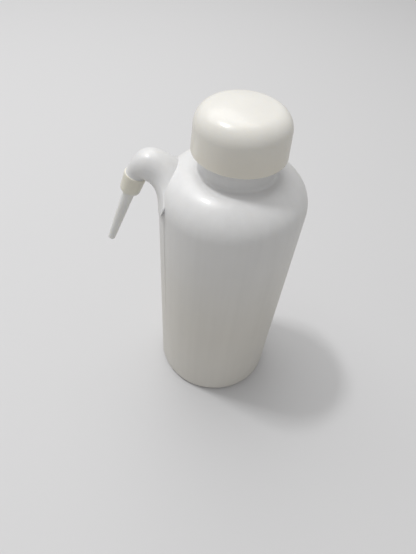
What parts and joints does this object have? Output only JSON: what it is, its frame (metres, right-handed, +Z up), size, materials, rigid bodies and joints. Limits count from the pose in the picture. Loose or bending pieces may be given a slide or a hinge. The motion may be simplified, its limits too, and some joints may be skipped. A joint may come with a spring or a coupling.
{
  "type": "wash bottle",
  "caption": "Squeezable wash bottle with a side arm moulded in one with the body, a domed screw cap with a sealing wad, and a tapered jet that pushes onto the arm.",
  "frame": {"origin": "centre of the base on the body's axis, on the surface that the bottle stands on", "axes": "+Z up along the body's axis, towards the cap; the side arm and its jet point along -X"},
  "size_m": [0.1051, 0.074, 0.185],
  "materials": {
    "body_plastic": "milky, translucent, satin",
    "cap_plastic": "ivory, satin gloss",
    "wad_foam": "fine foam",
    "jet_plastic": "yellowish, translucent, satin"
  },
  "bodies": {
    "bottle": {"bottle": "body_plastic"},
    "liner": {"cap_liner": "wad_foam"},
    "cap": {"screw_cap": "cap_plastic"},
    "nozzle": {"nozzle": "jet_plastic"}
  },
  "joints": [
    {"name": "cap_lift", "type": "slide", "parent": "bottle", "child": "liner", "axis": [0, 0, 1], "range_m": [0, 0.0168]},
    {"name": "cap_turn", "type": "hinge", "parent": "liner", "child": "cap", "pos_m": [0, 0, 0.17], "axis": [0, 0, 1], "range_deg": [0, 1440.1]},
    {"name": "nozzle_pull", "type": "slide", "parent": "bottle", "child": "nozzle", "axis": [-0.3584, 0, -0.9336], "range_m": [0, 0.01]}
  ],
  "couplings": [
    {"joint": "cap_turn", "follows": "cap_lift", "rad_per_m": 1496}
  ]
}
